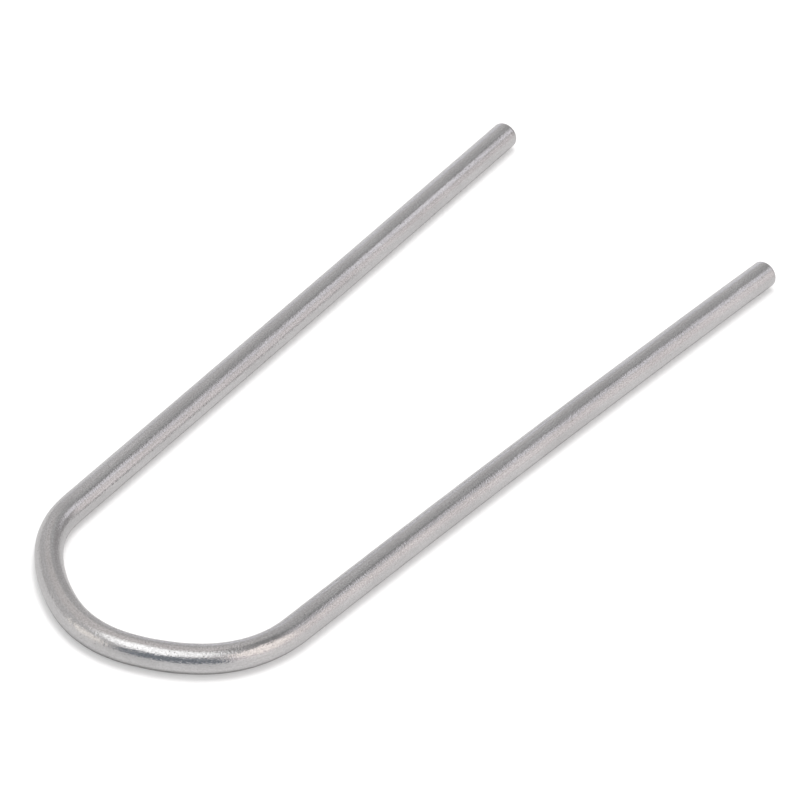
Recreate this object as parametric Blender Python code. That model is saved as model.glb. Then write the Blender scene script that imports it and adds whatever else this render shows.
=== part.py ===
"""A U-shaped cable needle: one round steel rod, bent once, that holds stitches while a cable is knitted.

Metres, +Z up. The needle lies flat on the plane z = 0 with its legs along Y, the bend at -Y and the two
tips at +Y. The origin is the middle of its footprint. There are no joints: the needle is a single rod.
"""

import math

import bmesh
import bpy
from mathutils import Matrix, Vector

MM = 0.001

# Driving dimensions.
ROD_DIAMETER = 2.5 * MM
LEFT_LEG = 67.5 * MM
RIGHT_LEG = 66.5 * MM
LEFT_LEG_BOW = -0.5  # degrees turned along the whole leg, against the turn of the bend
RIGHT_LEG_BOW = -1.5
LEFT_TIP_ROUND = 0.45 * MM  # radius round the rim of each cut end
RIGHT_TIP_ROUND = 0.3 * MM

# The bend is pulled round in steps, so tight and slack stretches alternate: (degrees, radius).
BENDS = (
    (37.0, 9.0 * MM),
    (26.0, 14.5 * MM),
    (45.0, 8.0 * MM),
    (19.5, 16.5 * MM),
    (48.0, 10.8 * MM),
)

# How finely the solid is faceted.
ROD_SIDES = 32
DEGREES_PER_STEP = 4.0
LEG_STEPS = 6
RIM_STEPS = 4

STEEL_COLOUR = (0.62, 0.61, 0.60, 1.0)
STEEL_ROUGHNESS = 0.28


def clear_scene():
    """Remove everything that the scene starts with."""
    for obj in list(bpy.data.objects):
        bpy.data.objects.remove(obj, do_unlink=True)


def steel():
    """Bare drawn stainless steel."""
    material = bpy.data.materials.new("steel")
    material.use_nodes = True
    shader = material.node_tree.nodes["Principled BSDF"]
    shader.inputs["Base Color"].default_value = STEEL_COLOUR
    shader.inputs["Metallic"].default_value = 1.0
    shader.inputs["Roughness"].default_value = STEEL_ROUGHNESS
    return material


def rod_arcs():
    """The rod from the left tip to the right one, as arcs: (length, turn in radians, steps)."""
    arcs = [(LEFT_LEG, math.radians(LEFT_LEG_BOW), LEG_STEPS)]
    for degrees, radius in BENDS:
        turn = math.radians(degrees)
        arcs.append((radius * turn, turn, round(degrees / DEGREES_PER_STEP)))
    arcs.append((RIGHT_LEG, math.radians(RIGHT_LEG_BOW), LEG_STEPS))
    return arcs


def first_heading():
    """The rod's direction at the left tip: towards -Y, with the legs splayed equally at the bend."""
    return -math.radians(sum(degrees for degrees, _ in BENDS)) / 2


def start_ring(bm, heading):
    """Make the closed left end of the rod, with one facet underneath, and return the edges round it."""
    corner_radius = ROD_DIAMETER / 2 / math.cos(math.pi / ROD_SIDES)
    across = Matrix.Rotation(heading, 4, "Z") @ Matrix.Rotation(math.pi / 2, 4, "Y")
    facet_down = Matrix.Rotation(math.pi / ROD_SIDES, 4, "Z")
    made = bmesh.ops.create_circle(
        bm, cap_ends=True, radius=corner_radius, segments=ROD_SIDES, matrix=across @ facet_down
    )
    return list({edge for vert in made["verts"] for edge in vert.link_edges})


def sweep_arc(bm, ring, point, heading, arc):
    """Sweep the ring along one arc. Returns the new ring, its centre and its heading."""
    length, turn, steps = arc
    left = Vector((-math.sin(heading), math.cos(heading), 0.0))
    centre = point + left * (length / turn)
    swept = bmesh.ops.spin(bm, geom=ring, cent=centre, axis=(0.0, 0.0, 1.0), angle=turn, steps=steps)
    new_ring = [item for item in swept["geom_last"] if isinstance(item, bmesh.types.BMEdge)]
    return new_ring, centre + Matrix.Rotation(turn, 3, "Z") @ (point - centre), heading + turn


def round_rim(bm, ring, radius):
    """Round the sharp rim round one cut end of the rod."""
    bmesh.ops.bevel(
        bm, geom=ring, offset=radius, offset_type="OFFSET", segments=RIM_STEPS, profile=0.5, affect="EDGES"
    )


def bent_rod_mesh():
    """The whole rod as one closed mesh, resting on z = 0 with its footprint centred on the origin."""
    bm = bmesh.new()
    heading = first_heading()
    left_ring = start_ring(bm, heading)
    ring, point = left_ring, Vector((0.0, 0.0, 0.0))
    for arc in rod_arcs():
        ring, point, heading = sweep_arc(bm, ring, point, heading, arc)
    bmesh.ops.contextual_create(bm, geom=ring)
    bmesh.ops.recalc_face_normals(bm, faces=bm.faces)
    round_rim(bm, ring, RIGHT_TIP_ROUND)
    round_rim(bm, left_ring, LEFT_TIP_ROUND)
    lowest = Vector([min(vert.co[axis] for vert in bm.verts) for axis in range(3)])
    highest = Vector([max(vert.co[axis] for vert in bm.verts) for axis in range(3)])
    middle = (lowest + highest) / 2
    bmesh.ops.translate(bm, vec=(-middle.x, -middle.y, -lowest.z), verts=bm.verts)
    mesh = bpy.data.meshes.new("bent_rod")
    bm.to_mesh(mesh)
    bm.free()
    return mesh


def main():
    clear_scene()
    mesh = bent_rod_mesh()
    mesh.materials.append(steel())
    mesh.shade_smooth()
    mesh.set_sharp_from_angle(angle=math.radians(30))
    rod = bpy.data.objects.new("bent_rod", mesh)
    bpy.context.scene.collection.objects.link(rod)


main()
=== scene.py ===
"""The finished look of the cable needle: a satin steel rod bent into a U, lying on a pale studio floor."""

import math

import bpy
import numpy as np
from mathutils import Matrix, Vector


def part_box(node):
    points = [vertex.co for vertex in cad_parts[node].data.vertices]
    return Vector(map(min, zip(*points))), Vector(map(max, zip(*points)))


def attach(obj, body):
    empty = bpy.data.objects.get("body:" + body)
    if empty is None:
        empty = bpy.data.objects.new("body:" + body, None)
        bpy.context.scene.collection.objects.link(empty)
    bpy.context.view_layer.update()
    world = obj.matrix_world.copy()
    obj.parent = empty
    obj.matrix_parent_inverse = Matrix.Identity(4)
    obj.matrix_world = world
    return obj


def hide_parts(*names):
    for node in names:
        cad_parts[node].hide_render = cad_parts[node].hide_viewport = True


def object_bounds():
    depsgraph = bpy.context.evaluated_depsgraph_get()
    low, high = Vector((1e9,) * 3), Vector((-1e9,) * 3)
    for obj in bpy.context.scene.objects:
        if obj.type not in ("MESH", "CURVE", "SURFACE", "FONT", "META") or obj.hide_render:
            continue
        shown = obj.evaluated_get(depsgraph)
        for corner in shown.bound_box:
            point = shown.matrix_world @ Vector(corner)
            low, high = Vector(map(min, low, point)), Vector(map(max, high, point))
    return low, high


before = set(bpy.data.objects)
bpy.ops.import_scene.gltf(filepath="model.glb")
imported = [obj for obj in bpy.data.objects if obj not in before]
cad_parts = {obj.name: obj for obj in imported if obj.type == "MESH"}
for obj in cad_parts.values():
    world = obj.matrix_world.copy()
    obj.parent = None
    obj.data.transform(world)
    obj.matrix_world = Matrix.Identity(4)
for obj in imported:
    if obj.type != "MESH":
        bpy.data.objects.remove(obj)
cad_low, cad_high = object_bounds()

# Lengths are in millimetres, except where a comment says otherwise.
MM = 0.001

# The rod, as the CAD part has it.
ROD_RADIUS = 1.25
LEFT_LEG = 67.5
RIGHT_LEG = 66.5
LEFT_LEG_BOW = -0.5  # degrees
RIGHT_LEG_BOW = -1.5
BENDS = ((37.0, 9.0), (26.0, 14.5), (45.0, 8.0), (19.5, 16.5), (48.0, 10.8))  # degrees, radius
LEFT_TIP_ROUND = 0.45
RIGHT_TIP_ROUND = 0.3

# Bending has squeezed the rod: narrower across the bend and taller, by these shares of its radius.
BEND_NARROWING = 0.06
BEND_RISE = 0.04
SQUEEZE_EASE = 4.0  # length over which the squeeze comes in
SQUEEZE_LEAD = 1.0  # how far out on the legs it starts

# How finely it is modelled.
FINE_STEP = 0.02  # for tracing the centre line
CURVATURE_BLEND = 2.4  # length over which one curvature eases into the next
LEG_STEP = 0.4
BEND_STEP = 0.08
BEND_MARGIN = 4.0  # how far out on the legs the fine steps of the bend go on
SIDES = 96
RIM_RINGS = 14  # rings in the rounded rim of each tip
END_RINGS = (0.06, 0.3, 0.55, 0.78, 0.92)  # rings in the flat end, as shares of the radius at the rim

# Slow unevenness of the surface, as many crossing waves.
WAVE_SEED = 11
WAVES = 40
LEG_WAVE_HEIGHT = 0.0004  # of each wave
BEND_WAVE_HEIGHT = 0.0007
WAVE_LENGTHS = (1.8, 9.0)  # shortest and longest
MOST_TURNS_ROUND = 4  # most crests that a wave has round the rod

# Where the bending tool gripped and scraped: distance along the rod and angle round it (0 is the inner
# side of the bend, 90 the top), how far the marks spread each way, and how many there are.
TOOL_GRIPS = (
    (78.9, 146.0, 1.0, 13.0, 20),
    (81.4, 150.0, 0.6, 12.0, 14),
    (84.5, 152.0, 0.5, 12.0, 14),
    (97.0, 146.0, 1.2, 18.0, 12),
    (104.0, 60.0, 2.0, 30.0, 6),
    (70.5, 75.0, 2.0, 30.0, 6),
)
MARK_SEED = 5
MARK_DEPTHS = (0.006, 0.018)  # least and most
MARK_LENGTHS = (0.14, 0.34)  # least and most, from the middle to where the depth has faded to a third or so
MARK_WIDTHS = (0.05, 0.09)  # the same, across the mark
MARK_SLANTS = (0.6, 1.7)  # least and most, in radians away from the rod's direction

# The patterns on the steel's surface, as it was when the rod was straight. Three numbers say how many
# features a pattern has per millimetre, along the rod and in the two directions across it.
RIPPLE = (0.45, 0.9, 0.9)
RIPPLE_DEPTH = 0.008
DIE_LINES = (0.09, 7.0, 7.0)
DIE_LINE_DEPTH = 0.002
TOOTH = (6.5, 7.0, 7.0)
TOOTH_DEPTH = 0.0145
GRAINS = (7.0, 9.0, 9.0)
FINISH_PATCHES = (0.14, 0.5, 0.5)
PITS_PER_MM = 2.6
PIT_EDGE = (0.05, 0.16)  # where a pit's floor ends and where its rim is, as shares of the pits' spacing
PIT_DEPTH = 0.008
SCRATCHES = (0.5, 3.2, 3.2)
SCRATCH_LEVEL = 0.62  # the value of the noise along which the scratches run
SCRATCH_EDGE = 0.012  # how far from that value the surface is level again
SCRATCH_DEPTH = 0.0015

# The part of each noise's range over which it takes effect.
DIE_LINE_RANGE = (0.35, 0.62)
GRAIN_RANGE = (0.38, 0.62)
TOOTH_RANGE = (0.35, 0.65)
FINISH_COLOUR_RANGE = (0.3, 0.7)
FINISH_GLOSS_RANGE = (0.3, 0.75)

# The steel's colours, and how strongly each darker one shows at most.
DULL_STEEL = (0.63, 0.625, 0.63)
BRIGHT_STEEL = (0.71, 0.705, 0.71)
DIE_LINE_COLOUR = (0.42, 0.41, 0.40)
DIE_LINE_SHARE = 0.18
GRAIN_COLOUR = (0.36, 0.35, 0.34)
GRAIN_SHARE = 0.26
PIT_COLOUR = (0.24, 0.23, 0.22)
PIT_SHARE = 0.5

# Its roughness, in the hollows and on the tops of the tooth.
HOLLOW_ROUGHNESS = 0.22
TOP_ROUGHNESS = 0.12
FINISH_ROUGHNESS = 0.04  # how much a patch of finish adds or takes away at most

# The floor.
FLOOR_HALF = 4.0  # metres from its middle to each edge
FLOOR_COLOUR = (0.63, 0.63, 0.63)
FLOOR_ROUGHNESS = 0.35
FLOOR_TOOTH = 2500.0  # bumps per metre
FLOOR_TOOTH_DEPTH = 0.003  # millimetres
FLOOR_LIFT = 0.34  # how much lighter the floor looks to the camera than to the steel

# The room that the steel reflects: plain grey walls, with soft-edged patches of light and shade on them,
# each over the ones before it. Azimuth, elevation, inner and outer radius in degrees, colour. They were set
# in round numbers, close to what a fit to the photo's reflections gave. The names are guesses.
ROOM = (0.62, 0.61, 0.61)
PATCHES = (
    (35, 40, 15, 60, (0.35, 0.34, 0.34)),  # the unlit far right of the room
    (25, 35, 8, 16, (0.95, 0.93, 0.97)),  # a pale card in front of it
    (-15, 50, 5, 20, (0.50, 0.50, 0.50)),  # a dimmer card, further left and higher
    (-80, 65, 25, 35, (0.70, 0.67, 0.66)),  # the ceiling on the left
    (-40, 0, 5, 20, (0.85, 0.85, 0.90)),  # the far side of the table, in cool light
    (75, 15, 35, 40, (0.90, 0.85, 0.85)),  # the right wall
    (80, 30, 20, 25, (1.30, 1.20, 1.15)),  # a warm lamp on it
    (-155, 10, 10, 25, (1.10, 1.05, 1.00)),  # a low lamp at the front left
    (145, 10, 25, 40, (0.25, 0.27, 0.30)),  # the dark space under the camera
    (20, 60, 5, 15, (0.30, 0.30, 0.30)),  # a dark gap above the cards
    (160, 65, 5, 35, (1.55, 1.55, 1.55)),  # the big soft light over the camera
)
BACKDROP = (1.0, 1.0, 1.0)

# The overhead light, in metres and watts.
SOFTBOX_SIZE = 0.25
SOFTBOX_HEIGHT = 0.6
SOFTBOX_POWER = 2.1

# The camera, from the front right and above, with a long lens, matched to the rod's outline in the photo.
# Angles are in degrees.
AIM = (0.075, 1.995, 1.25)
AZIMUTH = 29.23
ELEVATION = 40.78
ROLL = 9.41
DISTANCE = 376.7
NEAREST = 20.0  # nothing closer than this shows
LENS = 198.0
SENSOR = 36.0


def make_camera():
    """The camera looks at AIM from DISTANCE away, tilted by ROLL."""
    azimuth, elevation, roll = (math.radians(a) for a in (AZIMUTH, ELEVATION, ROLL))
    back = Vector(
        (
            math.sin(azimuth) * math.cos(elevation),
            -math.cos(azimuth) * math.cos(elevation),
            math.sin(elevation),
        )
    )
    level = Vector((math.cos(azimuth), math.sin(azimuth), 0.0))
    right = level * math.cos(roll) + back.cross(level) * math.sin(roll)
    up = back.cross(right)
    data = bpy.data.cameras.new("camera")
    data.lens = LENS
    data.sensor_width = SENSOR
    data.clip_start = NEAREST * MM
    camera = bpy.data.objects.new("camera", data)
    camera.matrix_world = Matrix.Translation((Vector(AIM) + back * DISTANCE) * MM) @ Matrix(
        (right, up, back)
    ).transposed().to_4x4()
    bpy.context.scene.collection.objects.link(camera)
    bpy.context.scene.camera = camera


# --- the rod ---------------------------------------------------------------------------------------


def centre_line():
    """The rod's centre line as fine stations: distance along it, x, y and heading."""
    stretches = [(LEFT_LEG, math.radians(LEFT_LEG_BOW))]
    for degrees, radius in BENDS:
        stretches.append((radius * math.radians(degrees), math.radians(degrees)))
    stretches.append((RIGHT_LEG, math.radians(RIGHT_LEG_BOW)))
    ends = np.cumsum([0.0] + [length for length, _ in stretches])
    along = np.linspace(0.0, ends[-1], round(ends[-1] / FINE_STEP) + 1)
    curvature = np.zeros_like(along)
    for start, (length, turn) in zip(ends, stretches):
        curvature[along >= start] = turn / length
    window = round(CURVATURE_BLEND / FINE_STEP) | 1
    smoothed = np.convolve(np.pad(curvature, window // 2, "edge"), np.ones(window) / window, "valid")
    step = along[1]
    whole_bend = math.radians(sum(degrees for degrees, _ in BENDS))
    heading = -whole_bend / 2 + np.concatenate(
        ([0.0], np.cumsum((smoothed[1:] + smoothed[:-1]) / 2 * step))
    )
    middle = (heading[1:] + heading[:-1]) / 2
    x = np.concatenate(([0.0], np.cumsum(np.cos(middle) * step)))
    y = np.concatenate(([0.0], np.cumsum(np.sin(middle) * step)))
    return along, x, y, heading


def stations(length):
    """Where the rings go: close together round the bend and in the rims of the two tips."""
    rim = 1.0 - np.cos(np.linspace(0.0, math.pi / 2, RIM_RINGS))
    bend_start = LEFT_LEG - BEND_MARGIN
    bend_end = length - RIGHT_LEG + BEND_MARGIN
    left = LEFT_TIP_ROUND * rim
    right = length - RIGHT_TIP_ROUND * rim[::-1]
    parts = [
        left,
        even(left[-1], bend_start, LEG_STEP)[1:],
        even(bend_start, bend_end, BEND_STEP)[1:],
        even(bend_end, right[0], LEG_STEP)[1:],
        right[1:],
    ]
    return np.concatenate(parts)


def even(start, end, step):
    """Even steps from start to end, each close to step."""
    return np.linspace(start, end, max(2, round((end - start) / step) + 1))


def squeeze(s, length):
    """How far the bend has squeezed the section at distance s: 0 on the legs, 1 round the bend."""
    into_bend = np.minimum(s - LEFT_LEG, length - RIGHT_LEG - s) + SQUEEZE_LEAD
    amount = np.clip(into_bend / SQUEEZE_EASE, 0.0, 1.0)
    return amount**2 * (3.0 - 2.0 * amount)


def rim_radius(s, length):
    """The rod's radius at distance s along it, smaller only where a tip's rim is rounded off."""
    inset = np.zeros_like(s)
    for depth, rounding in ((s, LEFT_TIP_ROUND), (length - s, RIGHT_TIP_ROUND)):
        a = np.clip(rounding - depth, 0.0, rounding)
        inset += rounding - np.sqrt(rounding**2 - a**2)
    return ROD_RADIUS - inset


def unevenness(s, angle, length):
    """Height of the slow waves in the surface, for each distance s and angle round the rod."""
    random = np.random.default_rng(WAVE_SEED)
    height = np.zeros((len(s), len(angle)))
    for _ in range(WAVES):
        wave_length = random.uniform(*WAVE_LENGTHS)
        turns_round = random.integers(0, MOST_TURNS_ROUND + 1)
        phase = random.uniform(0.0, 2 * math.pi)
        along = 2 * math.pi * s[:, None] / wave_length
        height += np.cos(along + turns_round * angle[None, :] + phase)
    swell = LEG_WAVE_HEIGHT + (BEND_WAVE_HEIGHT - LEG_WAVE_HEIGHT) * squeeze(s, length)
    return height * swell[:, None]


def tool_marks(s, angle):
    """Depth of the short scrapes that the bending tool left, each a soft-edged groove lying aslant."""
    random = np.random.default_rng(MARK_SEED)
    depth = np.zeros((len(s), len(angle)))
    for centre, around, spread, spread_round, count in TOOL_GRIPS:
        for _ in range(count):
            at = random.normal(centre, spread)
            at_angle = math.radians(random.normal(around, spread_round))
            slant = random.uniform(*MARK_SLANTS)
            long = random.uniform(*MARK_LENGTHS)
            wide = random.uniform(*MARK_WIDTHS)
            along = s[:, None] - at
            across = ROD_RADIUS * ((angle[None, :] - at_angle + math.pi) % (2 * math.pi) - math.pi)
            lengthwise = (along * math.cos(slant) + across * math.sin(slant)) / long
            sideways = (across * math.cos(slant) - along * math.sin(slant)) / wide
            depth += random.uniform(*MARK_DEPTHS) * np.exp(-(lengthwise**2) - sideways**2)
    return depth


def rod_mesh():
    """The rod as one closed mesh, with an attribute that says where each point was on the straight rod."""
    along, x, y, heading = centre_line()
    length = along[-1]
    s = stations(length)
    cx, cy, ch = (np.interp(s, along, values) for values in (x, y, heading))
    radius = rim_radius(s, length)
    angle = np.linspace(0.0, 2 * math.pi, SIDES, endpoint=False)
    # The two flat ends close with rings that shrink towards a last small one.
    rings = (
        [(0, radius[0] * f) for f in END_RINGS]
        + [(i, radius[i]) for i in range(len(s))]
        + [(len(s) - 1, radius[-1] * f) for f in END_RINGS[::-1]]
    )
    index = np.array([i for i, _ in rings])
    r = np.array([size for _, size in rings])
    relief = unevenness(s, angle, length) - tool_marks(s, angle)
    scale = 1.0 + relief[index] * (r / ROD_RADIUS)[:, None] / ROD_RADIUS
    squeezed = squeeze(s, length)[index]
    inward = np.outer(r * (1.0 - BEND_NARROWING * squeezed), np.cos(angle)) * scale
    upward = np.outer(r * (1.0 + BEND_RISE * squeezed), np.sin(angle)) * scale
    centre_height = ROD_RADIUS * (1.0 + BEND_RISE * squeezed)
    points = np.stack(
        [
            cx[index][:, None] - np.sin(ch[index])[:, None] * inward,
            cy[index][:, None] + np.cos(ch[index])[:, None] * inward,
            centre_height[:, None] + upward,
        ],
        axis=-1,
    )
    straight = np.stack([np.broadcast_to(s[index][:, None], inward.shape), inward, upward], axis=-1)
    n_rings = len(rings)
    ring, side = np.meshgrid(np.arange(n_rings - 1), np.arange(SIDES), indexing="ij")
    after = (side + 1) % SIDES
    quads = np.stack(
        [ring * SIDES + side, ring * SIDES + after, (ring + 1) * SIDES + after, (ring + 1) * SIDES + side],
        axis=-1,
    ).reshape(-1, 4)
    faces = quads[:, ::-1].tolist()
    faces.append(list(range(SIDES)))
    faces.append([(n_rings - 1) * SIDES + k for k in range(SIDES)][::-1])
    mesh = bpy.data.meshes.new("bent_rod_fine")
    mesh.from_pydata((points.reshape(-1, 3) * MM).tolist(), [], faces)
    mesh.validate()
    mesh.update()
    stored = mesh.attributes.new("straight_rod", "FLOAT_VECTOR", "POINT")
    stored.data.foreach_set("vector", straight.reshape(-1).astype(np.float32))
    mesh.shade_smooth()
    return mesh


def place_on_cad(obj, node):
    """Centre the piece on its CAD solid, resting at the same height."""
    low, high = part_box(node)
    corners = np.array([v.co for v in obj.data.vertices])
    middle = (corners.min(0) + corners.max(0)) / 2
    shift = Vector(
        ((low.x + high.x) / 2 - middle[0], (low.y + high.y) / 2 - middle[1], low.z - corners[:, 2].min())
    )
    obj.data.transform(Matrix.Translation(shift))


# --- materials -------------------------------------------------------------------------------------


class Nodes:
    """A short way to add shader nodes and link them."""

    def __init__(self, tree):
        self.tree = tree

    def add(self, kind, inputs=None, **settings):
        """Add a node. An input is a value, or the output socket that it is linked to."""
        node = self.tree.nodes.new(kind)
        for name, value in settings.items():
            setattr(node, name, value)
        for name, value in (inputs or {}).items():
            if isinstance(value, bpy.types.NodeSocket):
                self.tree.links.new(value, node.inputs[name])
            else:
                node.inputs[name].default_value = value
        return node

    def stretch(self, vector, scale):
        """Multiply a vector by a scale along each of its axes."""
        return self.add("ShaderNodeVectorMath", {0: vector, 1: scale}, operation="MULTIPLY").outputs[0]

    def noise(self, vector, detail=2.0, roughness=0.5):
        """Noise from 0 to 1, with features about one unit of the vector wide."""
        inputs = {"Vector": vector, "Scale": 1.0, "Detail": detail, "Roughness": roughness}
        return self.add("ShaderNodeTexNoise", inputs).outputs["Fac"]

    def remap(self, value, low, high, to_low=0.0, to_high=1.0):
        """Ease a value from one range to another, held at both ends."""
        inputs = {"Value": value, 1: low, 2: high, 3: to_low, 4: to_high}
        return self.add("ShaderNodeMapRange", inputs, interpolation_type="SMOOTHSTEP").outputs[0]

    def math(self, operation, a, b=0.0):
        """Work out one step of arithmetic."""
        return self.add("ShaderNodeMath", {0: a, 1: b}, operation=operation).outputs[0]

    def blend(self, amount, a, b):
        """Mix two colours."""
        node = self.add("ShaderNodeMix", {0: amount, 6: a, 7: b}, data_type="RGBA")
        return node.outputs[2]

    def bump(self, height, depth, normal=None):
        """Raise the surface by up to depth, in millimetres."""
        inputs = {"Height": height, "Strength": 1.0, "Distance": depth * MM}
        if normal is not None:
            inputs["Normal"] = normal
        return self.add("ShaderNodeBump", inputs).outputs[0]


def steel():
    """Drawn steel wire: lengthwise grain, a satin tooth, small pits and fine scratches.

    The pattern is laid out on the straight rod, in millimetres, so it follows the bend without a seam.
    """
    material = bpy.data.materials.new("steel")
    material.use_nodes = True
    tree = material.node_tree
    shader = tree.nodes["Principled BSDF"]
    nodes = Nodes(tree)
    place = nodes.add("ShaderNodeAttribute", attribute_name="straight_rod").outputs["Vector"]

    die_lines = nodes.noise(nodes.stretch(place, DIE_LINES), detail=3.0, roughness=0.6)
    tooth = nodes.noise(nodes.stretch(place, TOOTH), detail=1.0, roughness=0.5)
    ripple = nodes.noise(nodes.stretch(place, RIPPLE), detail=1.0)
    grains = nodes.noise(nodes.stretch(place, GRAINS), detail=1.0)
    patch = nodes.noise(nodes.stretch(place, FINISH_PATCHES), detail=3.0, roughness=0.6)
    pit_field = nodes.add(
        "ShaderNodeTexVoronoi", {"Vector": place, "Scale": PITS_PER_MM, "Randomness": 1.0}
    ).outputs["Distance"]
    pits = nodes.remap(pit_field, *PIT_EDGE)
    scratch_field = nodes.noise(nodes.stretch(place, SCRATCHES), detail=0.0)
    off_level = nodes.math("ABSOLUTE", nodes.math("SUBTRACT", scratch_field, SCRATCH_LEVEL))
    scratches = nodes.remap(off_level, 0.0, SCRATCH_EDGE)

    normal = nodes.bump(ripple, RIPPLE_DEPTH)
    normal = nodes.bump(die_lines, DIE_LINE_DEPTH, normal)
    normal = nodes.bump(tooth, TOOTH_DEPTH, normal)
    normal = nodes.bump(pits, PIT_DEPTH, normal)
    normal = nodes.bump(scratches, SCRATCH_DEPTH, normal)
    tree.links.new(normal, shader.inputs["Normal"])

    colour = nodes.blend(nodes.remap(patch, *FINISH_COLOUR_RANGE), (*DULL_STEEL, 1.0), (*BRIGHT_STEEL, 1.0))
    lined = nodes.remap(die_lines, *DIE_LINE_RANGE, DIE_LINE_SHARE, 0.0)
    colour = nodes.blend(lined, colour, (*DIE_LINE_COLOUR, 1.0))
    grainy = nodes.remap(grains, *GRAIN_RANGE, GRAIN_SHARE, 0.0)
    colour = nodes.blend(grainy, colour, (*GRAIN_COLOUR, 1.0))
    pitted = nodes.remap(pits, 0.0, 1.0, PIT_SHARE, 0.0)
    colour = nodes.blend(pitted, colour, (*PIT_COLOUR, 1.0))
    tree.links.new(colour, shader.inputs["Base Color"])

    roughness = nodes.remap(tooth, *TOOTH_RANGE, HOLLOW_ROUGHNESS, TOP_ROUGHNESS)
    patchy = nodes.remap(patch, *FINISH_GLOSS_RANGE, FINISH_ROUGHNESS, -FINISH_ROUGHNESS)
    roughness = nodes.math("ADD", roughness, patchy)
    tree.links.new(roughness, shader.inputs["Roughness"])
    shader.inputs["Metallic"].default_value = 1.0
    return material


def floor_material():
    """Half-gloss pale card. The steel reflects it as it is, and the camera sees it lightened to white."""
    material = bpy.data.materials.new("pale_floor")
    material.use_nodes = True
    tree = material.node_tree
    tree.nodes.clear()
    nodes = Nodes(tree)
    place = nodes.add("ShaderNodeTexCoord").outputs["Object"]
    tooth = nodes.noise(nodes.stretch(place, (FLOOR_TOOTH, FLOOR_TOOTH, FLOOR_TOOTH)), detail=2.0)
    card = nodes.add(
        "ShaderNodeBsdfPrincipled",
        {
            "Base Color": (*FLOOR_COLOUR, 1.0),
            "Roughness": FLOOR_ROUGHNESS,
            "Normal": nodes.bump(tooth, FLOOR_TOOTH_DEPTH),
        },
    ).outputs[0]
    seen = nodes.add("ShaderNodeLightPath").outputs["Is Camera Ray"]
    lift = nodes.math("MULTIPLY", seen, FLOOR_LIFT)
    lightened = nodes.add(
        "ShaderNodeAddShader",
        {0: card, 1: nodes.add("ShaderNodeEmission", {"Strength": lift}).outputs[0]},
    ).outputs[0]
    nodes.add("ShaderNodeOutputMaterial", {"Surface": lightened})
    return material


# --- studio ----------------------------------------------------------------------------------------


def make_floor(height):
    """One large square of floor, at a height in metres."""
    mesh = bpy.data.meshes.new("floor")
    corners = [(x * FLOOR_HALF, y * FLOOR_HALF, height) for x, y in ((-1, -1), (1, -1), (1, 1), (-1, 1))]
    mesh.from_pydata(corners, [], [(0, 1, 2, 3)])
    floor = bpy.data.objects.new("floor", mesh)
    mesh.materials.append(floor_material())
    bpy.context.scene.collection.objects.link(floor)


def direction(azimuth, elevation):
    """A unit vector. Azimuth 0 is +Y and 90 is +X, in degrees."""
    a, e = math.radians(azimuth), math.radians(elevation)
    return (math.sin(a) * math.cos(e), math.cos(a) * math.cos(e), math.sin(e))


def make_world():
    """The studio round the needle. Past the floor's edge the camera sees a plain white backdrop."""
    world = bpy.data.worlds.new("studio")
    bpy.context.scene.world = world
    world.use_nodes = True
    tree = world.node_tree
    tree.nodes.clear()
    nodes = Nodes(tree)
    towards = nodes.add("ShaderNodeTexCoord").outputs["Generated"]
    colour = (*ROOM, 1.0)
    for azimuth, elevation, inner, outer, tint in PATCHES:
        facing = nodes.add(
            "ShaderNodeVectorMath", {0: towards, 1: direction(azimuth, elevation)}, operation="DOT_PRODUCT"
        ).outputs["Value"]
        amount = nodes.remap(facing, math.cos(math.radians(outer)), math.cos(math.radians(inner)))
        colour = nodes.blend(amount, colour, (*tint, 1.0))
    room = nodes.add("ShaderNodeBackground", {"Color": colour}).outputs[0]
    backdrop = nodes.add("ShaderNodeBackground", {"Color": (*BACKDROP, 1.0)}).outputs[0]
    seen = nodes.add("ShaderNodeLightPath").outputs["Is Camera Ray"]
    both = nodes.add("ShaderNodeMixShader", {0: seen, 1: room, 2: backdrop}).outputs[0]
    nodes.add("ShaderNodeOutputWorld", {"Surface": both})


def make_softbox():
    """A broad soft light overhead. It lights the floor, and the steel reflects only the room."""
    data = bpy.data.lights.new("softbox", "AREA")
    data.size = SOFTBOX_SIZE
    data.energy = SOFTBOX_POWER
    softbox = bpy.data.objects.new("softbox", data)
    softbox.location = (0.0, 0.0, SOFTBOX_HEIGHT)
    softbox.visible_glossy = False
    bpy.context.scene.collection.objects.link(softbox)


# --- the scene -------------------------------------------------------------------------------------

make_camera()

rod = bpy.data.objects.new("bent_rod_steel", rod_mesh())
rod.data.materials.append(steel())
bpy.context.scene.collection.objects.link(rod)
place_on_cad(rod, "bent_rod")
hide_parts("bent_rod")
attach(rod, "root")

make_floor(cad_low.z)
make_world()
make_softbox()
bpy.context.scene.view_settings.view_transform = "Standard"
